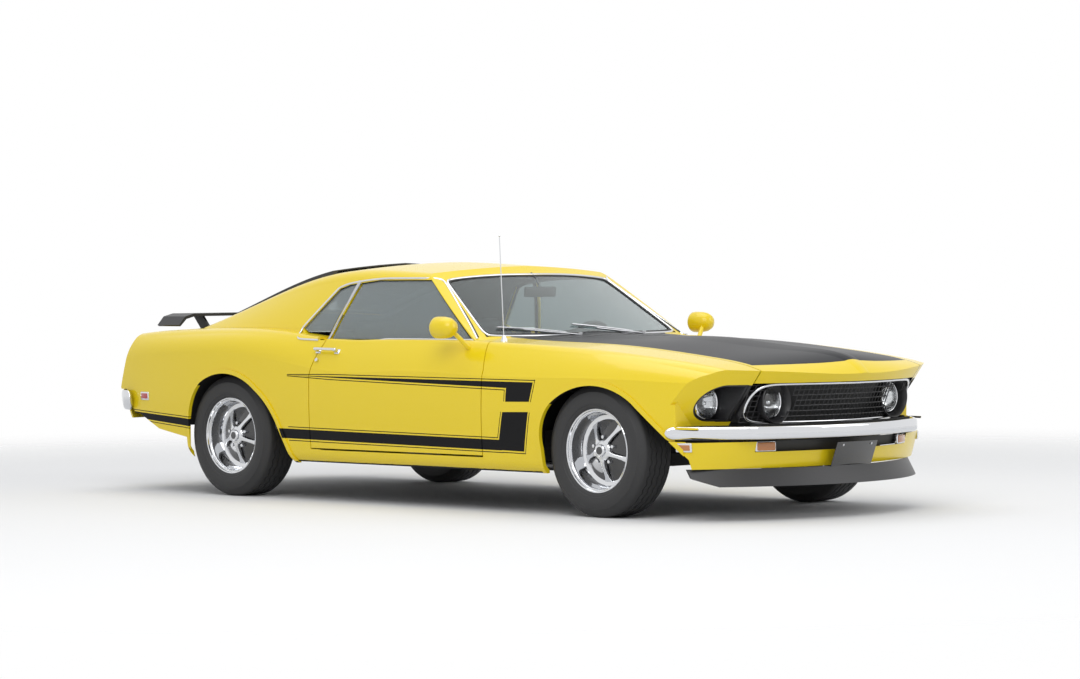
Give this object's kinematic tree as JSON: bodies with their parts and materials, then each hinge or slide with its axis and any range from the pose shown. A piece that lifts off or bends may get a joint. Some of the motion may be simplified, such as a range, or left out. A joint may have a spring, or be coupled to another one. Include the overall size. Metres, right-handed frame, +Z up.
{
  "type": "two-door fastback muscle car",
  "caption": "Late-1960s style fastback coupe, yellow with black stripes and hood, with opening doors, hood and trunk lid, and steered front wheels.",
  "frame": {"origin": "on the ground, midway between the bumpers and on the centre line", "axes": "+X to the front, +Y to the car's left, +Z up"},
  "size_m": [4.7781, 2.0122, 1.377],
  "materials": {
    "yellow_paint": "gloss",
    "black_paint": "satin",
    "tinted_glass": "clear",
    "chrome_trim": "polished",
    "red_lens": "gloss",
    "underbody_black": "matte",
    "engine_iron": "cast",
    "steel": "brushed",
    "black_trim": "matte",
    "tyre_rubber": "matte"
  },
  "bodies": {
    "body": {"body_shell": "yellow_paint", "roof": "yellow_paint", "front_wings": "yellow_paint", "headlamp_housings": "yellow_paint", "tail_panel": "yellow_paint", "valance_rear": "yellow_paint", "valance_front": "yellow_paint", "headlamp_buckets": "black_paint", "window_louvres": "black_paint", "chin_spoiler": "black_paint", "grille": "black_paint", "quarter_glass": "tinted_glass", "windshield": "tinted_glass", "rear_window": "tinted_glass", "headlamps": "tinted_glass", "bumper_front": "chrome_trim", "bumper_rear": "chrome_trim", "tail_lamps": "red_lens", "floor_pan": "underbody_black", "wheel_tubs": "underbody_black", "front_frame": "underbody_black", "front_suspension": "underbody_black", "rear_axle": "underbody_black", "leaf_springs": "underbody_black", "fuel_tank": "underbody_black", "driveshaft": "underbody_black", "engine": "engine_iron", "gearbox": "engine_iron", "exhaust": "steel", "antenna": "steel", "dashboard": "black_trim", "steering_column": "black_trim", "seats_front": "black_trim", "seat_rear": "black_trim", "console": "black_trim"},
    "left_door": {"door_left": "yellow_paint", "door_glass_left": "tinted_glass", "door_mirror_left": "yellow_paint"},
    "right_door": {"door_right": "yellow_paint", "door_glass_right": "tinted_glass", "door_mirror_right": "yellow_paint"},
    "engine_hood": {"hood": "black_paint"},
    "rear_lid": {"trunk_lid": "yellow_paint", "rear_wing": "black_paint"},
    "left_knuckle": {"knuckle_left": "steel"},
    "right_knuckle": {"knuckle_right": "steel"},
    "hand_wheel": {"steering_wheel": "black_trim"},
    "front_left_wheel": {"tyre_front_left": "tyre_rubber", "rim_front_left": "chrome_trim"},
    "front_right_wheel": {"tyre_front_right": "tyre_rubber", "rim_front_right": "chrome_trim"},
    "rear_left_wheel": {"tyre_rear_left": "tyre_rubber", "rim_rear_left": "chrome_trim"},
    "rear_right_wheel": {"tyre_rear_right": "tyre_rubber", "rim_rear_right": "chrome_trim"}
  },
  "joints": [
    {"name": "steer_left", "type": "hinge", "parent": "body", "child": "left_knuckle", "pos_m": [1.415, 0.69, 0.325], "axis": [0, 0, 1], "range_deg": [-30, 30]},
    {"name": "steer_right", "type": "hinge", "parent": "body", "child": "right_knuckle", "pos_m": [1.415, -0.69, 0.325], "axis": [0, 0, 1], "range_deg": [-30, 30]},
    {"name": "steering_wheel_turn", "type": "hinge", "parent": "body", "child": "hand_wheel", "pos_m": [0.15, 0.37, 0.745], "axis": [-0.9272, 0, 0.3746], "range_deg": [-540, 540]},
    {"name": "front_left_spin", "type": "hinge", "parent": "left_knuckle", "child": "front_left_wheel", "pos_m": [1.415, 0.7555, 0.325], "axis": [0, 1, 0], "continuous": true},
    {"name": "front_right_spin", "type": "hinge", "parent": "right_knuckle", "child": "front_right_wheel", "pos_m": [1.415, -0.7555, 0.325], "axis": [0, 1, 0], "continuous": true},
    {"name": "rear_left_spin", "type": "hinge", "parent": "body", "child": "rear_left_wheel", "pos_m": [-1.328, 0.7555, 0.325], "axis": [0, 1, 0], "continuous": true},
    {"name": "rear_right_spin", "type": "hinge", "parent": "body", "child": "rear_right_wheel", "pos_m": [-1.328, -0.7555, 0.325], "axis": [0, 1, 0], "continuous": true},
    {"name": "door_left_hinge", "type": "hinge", "parent": "body", "child": "left_door", "pos_m": [0.669, 0.906, 0.55], "axis": [0, 0, -1], "range_deg": [0, 62]},
    {"name": "door_right_hinge", "type": "hinge", "parent": "body", "child": "right_door", "pos_m": [0.669, -0.906, 0.55], "axis": [0, 0, 1], "range_deg": [0, 62]},
    {"name": "hood_hinge", "type": "hinge", "parent": "body", "child": "engine_hood", "pos_m": [0.72, 0, 0.886], "axis": [0, -1, 0], "range_deg": [0, 50]},
    {"name": "trunk_hinge", "type": "hinge", "parent": "body", "child": "rear_lid", "pos_m": [-1.792, 0, 0.945], "axis": [0, 1, 0], "range_deg": [0, 50]}
  ],
  "couplings": [
    {"joint": "steer_right", "follows": "steer_left", "ratio": 1},
    {"joint": "steering_wheel_turn", "follows": "steer_left", "ratio": 18}
  ]
}
